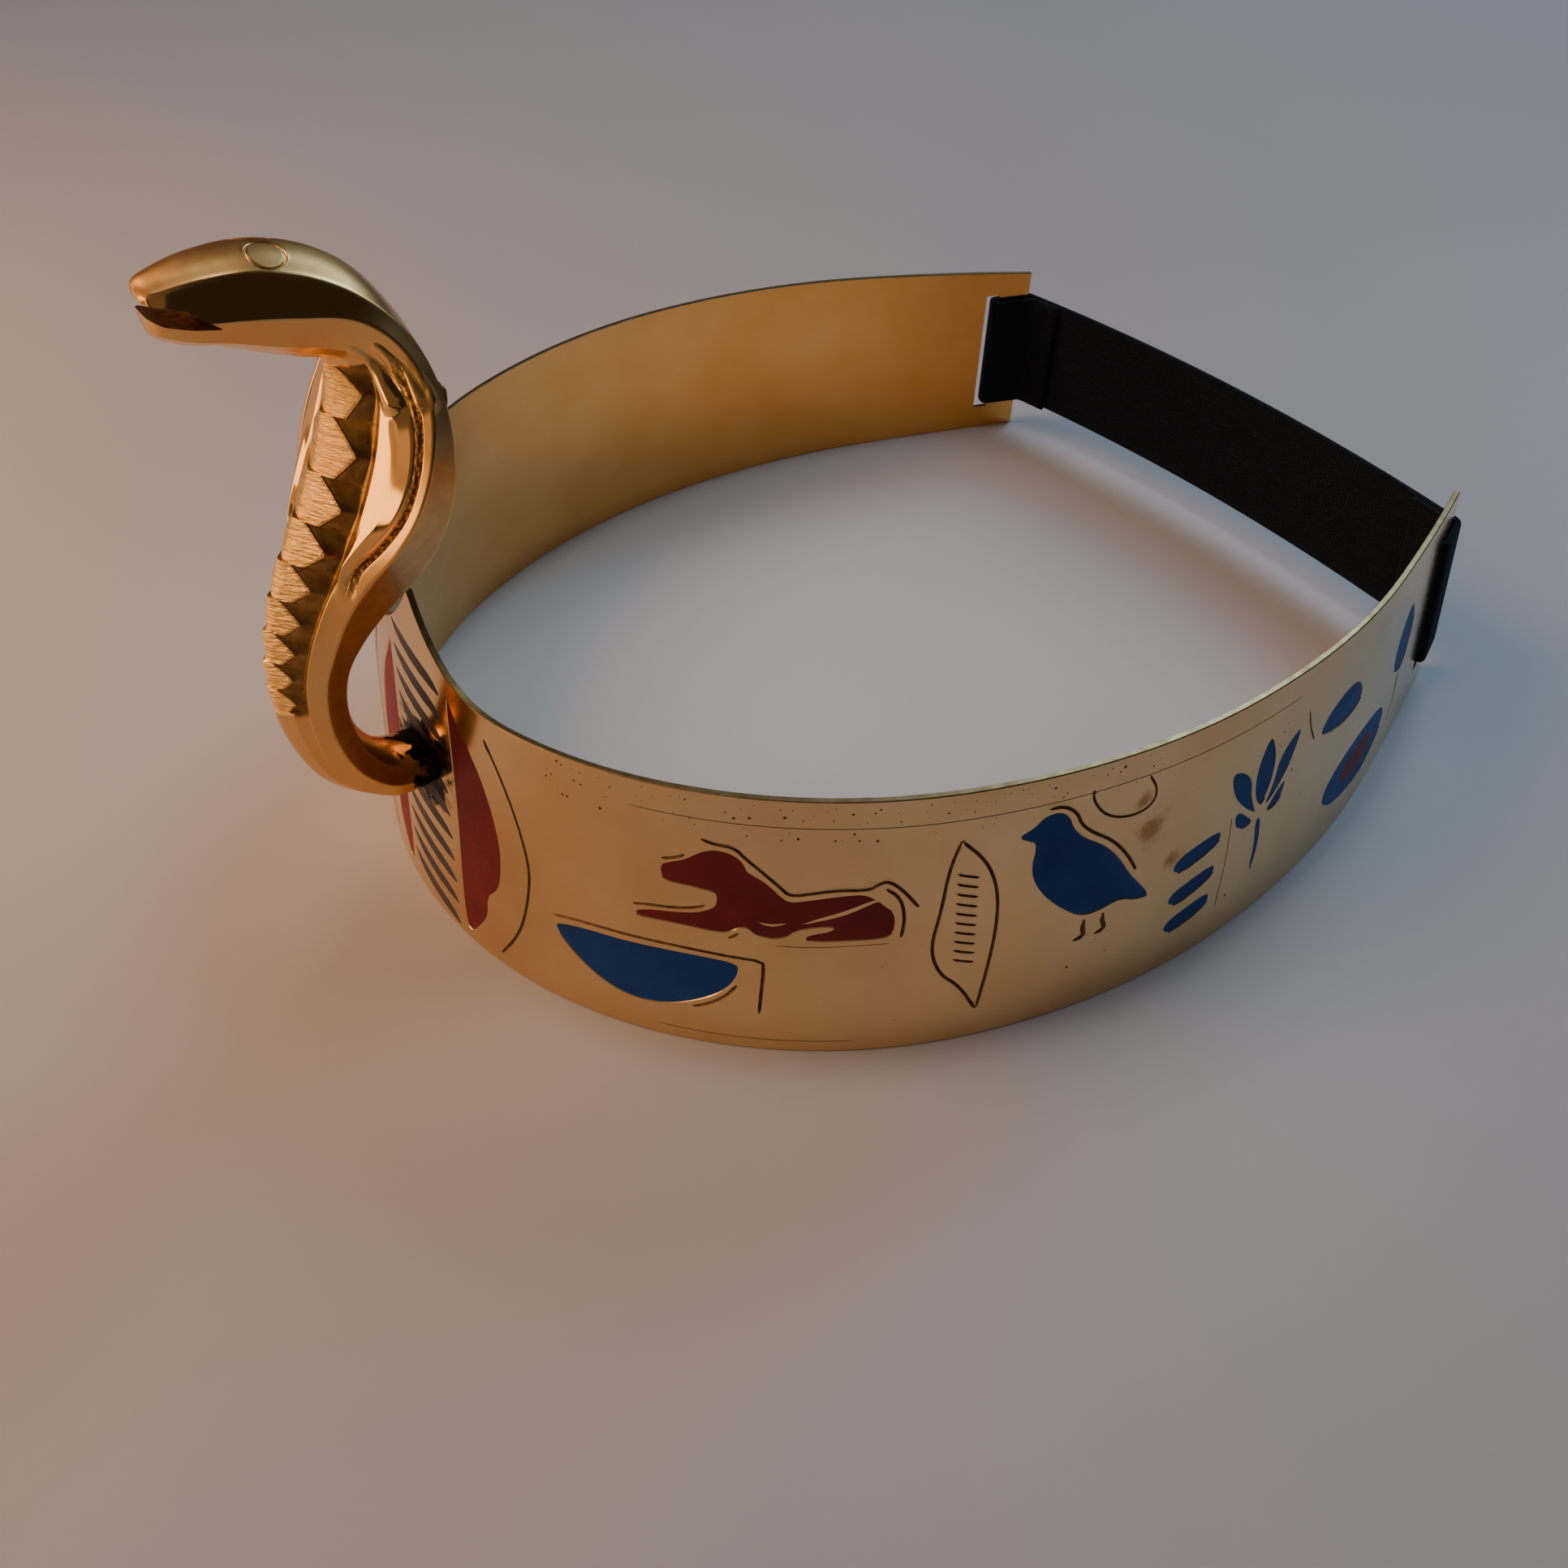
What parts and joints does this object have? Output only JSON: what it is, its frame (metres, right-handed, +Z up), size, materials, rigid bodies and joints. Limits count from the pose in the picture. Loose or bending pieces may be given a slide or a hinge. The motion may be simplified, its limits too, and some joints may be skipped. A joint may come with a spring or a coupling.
{
  "type": "snake crown",
  "caption": "Brass head band with a rearing hooded cobra soldered to its raised front, painted engraved side panels and a black elastic strap closing the back.",
  "frame": {"origin": "on the table, under the middle of the crown's box", "axes": "+Z up, the cobra looks along -Y, the strap is at +Y"},
  "size_m": [0.1562, 0.1974, 0.1102],
  "materials": {
    "brass": "polished sheet and filed casting, lightly tarnished",
    "elastic": "matte woven elastic",
    "red_paint": "maroon paint in engraved fields",
    "blue_paint": "dark blue paint in engraved fields",
    "slate_paint": "slate grey paint in engraved feather stripes"
  },
  "bodies": {
    "root": {"cobra_band": "brass", "elastic_strap": "elastic"}
  },
  "joints": []
}
